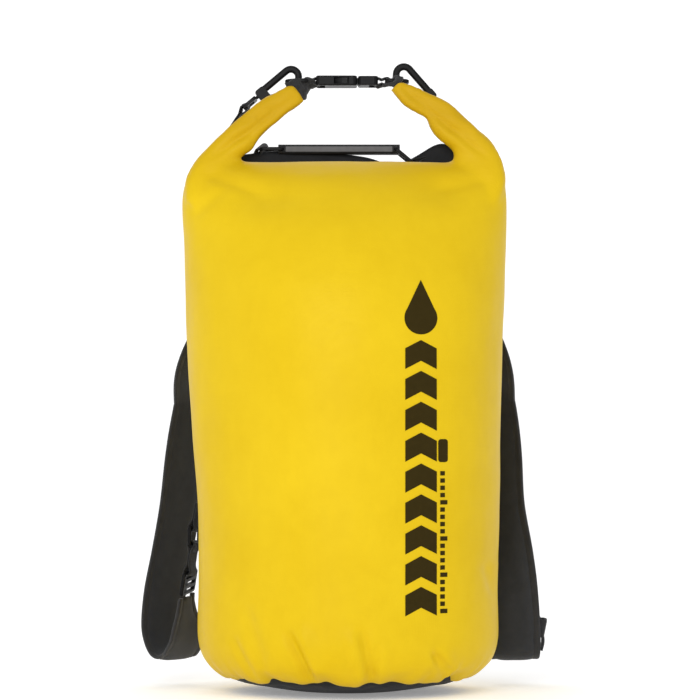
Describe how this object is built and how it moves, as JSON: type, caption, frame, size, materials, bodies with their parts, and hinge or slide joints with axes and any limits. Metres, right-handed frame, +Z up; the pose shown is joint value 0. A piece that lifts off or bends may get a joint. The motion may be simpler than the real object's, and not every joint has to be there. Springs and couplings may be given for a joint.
{
  "type": "roll-top dry sack",
  "caption": "Filled roll-top waterproof stuff sack with its mouth clipped into a loop, snap hooks, a grab handle and a padded backpack harness.",
  "frame": {"origin": "middle of the base, on the ground the sack stands on", "axes": "+Z up the tube, -Y towards the plain front, +Y towards the harness on the back, +X to the right seen from the front"},
  "size_m": [0.4127, 0.317, 0.6271],
  "materials": {
    "tarpaulin": "satin coated fabric",
    "base_tarpaulin": "matte coated fabric",
    "panel_fabric": "matte coated fabric",
    "pad_mesh": "open mesh",
    "binding": "grosgrain",
    "strap_padding": "woven nylon over foam",
    "webbing": "woven webbing",
    "hardware": "moulded acetal",
    "grip": "soft moulded",
    "grip_insert": "soft moulded",
    "pin_steel": "plain"
  },
  "bodies": {
    "bag": {"bag_tube": "tarpaulin", "base_cup": "base_tarpaulin", "rolled_mouth": "tarpaulin", "left_mouth_tab": "binding", "buckle_female": "hardware", "left_clip_webbing": "webbing", "left_d_ring": "hardware", "back_panel": "panel_fabric", "back_pad": "pad_mesh", "pad_binding": "binding", "harness_yoke": "panel_fabric", "left_handle_webbing": "webbing", "right_handle_webbing": "webbing", "left_hook_webbing": "webbing", "right_hook_webbing": "webbing", "left_slider": "hardware", "left_anchor_patch": "panel_fabric", "left_anchor_loop": "webbing", "left_anchor_ring": "hardware", "right_anchor_patch": "panel_fabric", "right_anchor_loop": "webbing", "right_anchor_ring": "hardware"},
    "clip_end": {"right_slider": "hardware", "buckle_male": "hardware", "right_clip_webbing": "webbing", "right_d_ring": "hardware", "right_mouth_tab": "binding", "rolled_mouth_end": "tarpaulin"},
    "front_prong": {"front_prong": "hardware"},
    "rear_prong": {"rear_prong": "hardware"},
    "left_eye": {"left_swivel_eye": "hardware"},
    "left_hook": {"left_hook": "hardware", "left_gate_pin": "pin_steel"},
    "left_gate": {"left_gate": "hardware"},
    "right_eye": {"right_swivel_eye": "hardware"},
    "right_hook": {"right_hook": "hardware", "right_gate_pin": "pin_steel"},
    "right_gate": {"right_gate": "hardware"},
    "handle": {"handle_grip": "grip", "front_handle_insert": "grip_insert", "rear_handle_insert": "grip_insert", "left_handle_ring": "hardware", "right_handle_ring": "hardware"},
    "left_strap": {"left_shoulder_pad": "strap_padding", "left_shoulder_webbing": "webbing", "left_lower_webbing": "webbing"},
    "left_lock": {"left_ladder_lock": "hardware"},
    "right_strap": {"right_shoulder_pad": "strap_padding", "right_shoulder_webbing": "webbing", "right_lower_webbing": "webbing"},
    "right_lock": {"right_ladder_lock": "hardware"}
  },
  "joints": [
    {"name": "buckle_release", "type": "slide", "parent": "bag", "child": "clip_end", "axis": [1, 0, 0], "range_m": [0, 0.032], "deforming": ["front_prong", "rear_prong", "right_hook_webbing"]},
    {"name": "squeeze_front", "type": "hinge", "parent": "clip_end", "child": "front_prong", "pos_m": [0.0122, -0.008, 0.608], "axis": [0, 0, 1], "range_deg": [0, 6]},
    {"name": "squeeze_rear", "type": "hinge", "parent": "clip_end", "child": "rear_prong", "pos_m": [0.0122, 0.012, 0.608], "axis": [0, 0, -1], "range_deg": [0, 6]},
    {"name": "left_hook_swing", "type": "hinge", "parent": "bag", "child": "left_eye", "pos_m": [-0.06, 0.007, 0.608], "axis": [0, 1, 0], "range_deg": [-6, 6], "deforming": ["left_hook_webbing"]},
    {"name": "left_swivel", "type": "hinge", "parent": "left_eye", "child": "left_hook", "pos_m": [-0.08917, 0.007, 0.59367], "axis": [0.766, 0, 0.6428], "range_deg": [-7, 7]},
    {"name": "left_gate_open", "type": "hinge", "parent": "left_hook", "child": "left_gate", "pos_m": [-0.07866, 0.007, 0.59204], "axis": [0, -1, 0], "range_deg": [0, 7]},
    {"name": "right_hook_swing", "type": "hinge", "parent": "clip_end", "child": "right_eye", "pos_m": [0.06, 0.007, 0.608], "axis": [0, -1, 0], "range_deg": [-6, 6], "deforming": ["right_hook_webbing"]},
    {"name": "right_swivel", "type": "hinge", "parent": "right_eye", "child": "right_hook", "pos_m": [0.08646, 0.007, 0.59126], "axis": [-0.6561, 0, 0.7547], "range_deg": [-7, 7]},
    {"name": "right_gate_open", "type": "hinge", "parent": "right_hook", "child": "right_gate", "pos_m": [0.07583, 0.007, 0.59129], "axis": [0, 1, 0], "range_deg": [0, 4]},
    {"name": "handle_swing", "type": "hinge", "parent": "bag", "child": "handle", "pos_m": [0, 0.018, 0.509], "axis": [-1, 0, 0], "range_deg": [0, 50], "deforming": ["left_handle_webbing", "right_handle_webbing"]},
    {"name": "left_strap_swing", "type": "hinge", "parent": "bag", "child": "left_strap", "pos_m": [-0.15885, 0.04562, 0.11536], "axis": [-0.3256, -0.2538, -0.9108], "range_deg": [0, 30], "deforming": ["left_shoulder_pad", "left_shoulder_webbing", "left_lower_webbing"]},
    {"name": "left_lock_tilt", "type": "hinge", "parent": "left_strap", "child": "left_lock", "pos_m": [-0.15885, 0.04562, 0.11536], "axis": [0.3127, 0.9412, 0.1276], "range_deg": [0, 25]},
    {"name": "right_strap_swing", "type": "hinge", "parent": "bag", "child": "right_strap", "pos_m": [0.1589, 0.1184, 0.07234], "axis": [-0.3, 0.0399, 0.9531], "range_deg": [0, 30], "deforming": ["right_shoulder_pad", "right_shoulder_webbing", "right_lower_webbing"]},
    {"name": "right_lock_tilt", "type": "hinge", "parent": "right_strap", "child": "right_lock", "pos_m": [0.1589, 0.1184, 0.07234], "axis": [0.923, -0.1052, 0.37], "range_deg": [0, 25]}
  ],
  "couplings": [
    {"joint": "squeeze_rear", "follows": "squeeze_front", "ratio": 1}
  ]
}
